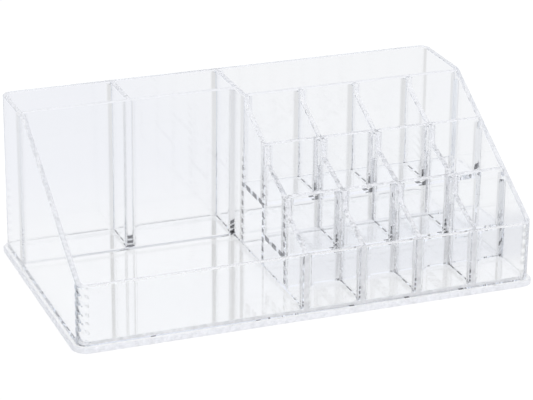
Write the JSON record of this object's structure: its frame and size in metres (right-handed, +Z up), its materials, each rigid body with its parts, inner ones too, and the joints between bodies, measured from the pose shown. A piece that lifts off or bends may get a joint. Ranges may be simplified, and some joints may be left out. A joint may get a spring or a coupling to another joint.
{
  "type": "vanity organizer",
  "caption": "Low clear acrylic organizer with tall bins at the back, an open tray in front, a long slot and stepped pockets with scalloped dividers for cosmetics.",
  "frame": {"origin": "on the resting surface, under the middle of the base plate", "axes": "+X to the right along the front, the low front wall faces -Y, +Z up"},
  "size_m": [0.2232, 0.1272, 0.0793],
  "materials": {
    "clear_acrylic": "polished clear sheet"
  },
  "bodies": {
    "root": {"base_plate": "clear_acrylic", "floor_panel": "clear_acrylic", "left_side_wall": "clear_acrylic", "right_side_wall": "clear_acrylic", "rear_wall": "clear_acrylic", "front_wall": "clear_acrylic", "centre_partition": "clear_acrylic", "tall_bin_front_wall": "clear_acrylic", "slot_front_wall": "clear_acrylic", "tall_bin_divider_1": "clear_acrylic", "cross_wall_1": "clear_acrylic", "cross_wall_2": "clear_acrylic", "tier_floor_1": "clear_acrylic", "tier_floor_2": "clear_acrylic", "pocket_divider_1": "clear_acrylic", "pocket_divider_2": "clear_acrylic", "pocket_divider_3": "clear_acrylic", "tall_bin_corner_fillets": "clear_acrylic", "tray_corner_fillets": "clear_acrylic", "slot_corner_fillets": "clear_acrylic", "pocket_row_1_corner_fillets": "clear_acrylic", "pocket_row_2_corner_fillets": "clear_acrylic", "pocket_row_3_corner_fillets": "clear_acrylic"}
  },
  "joints": []
}
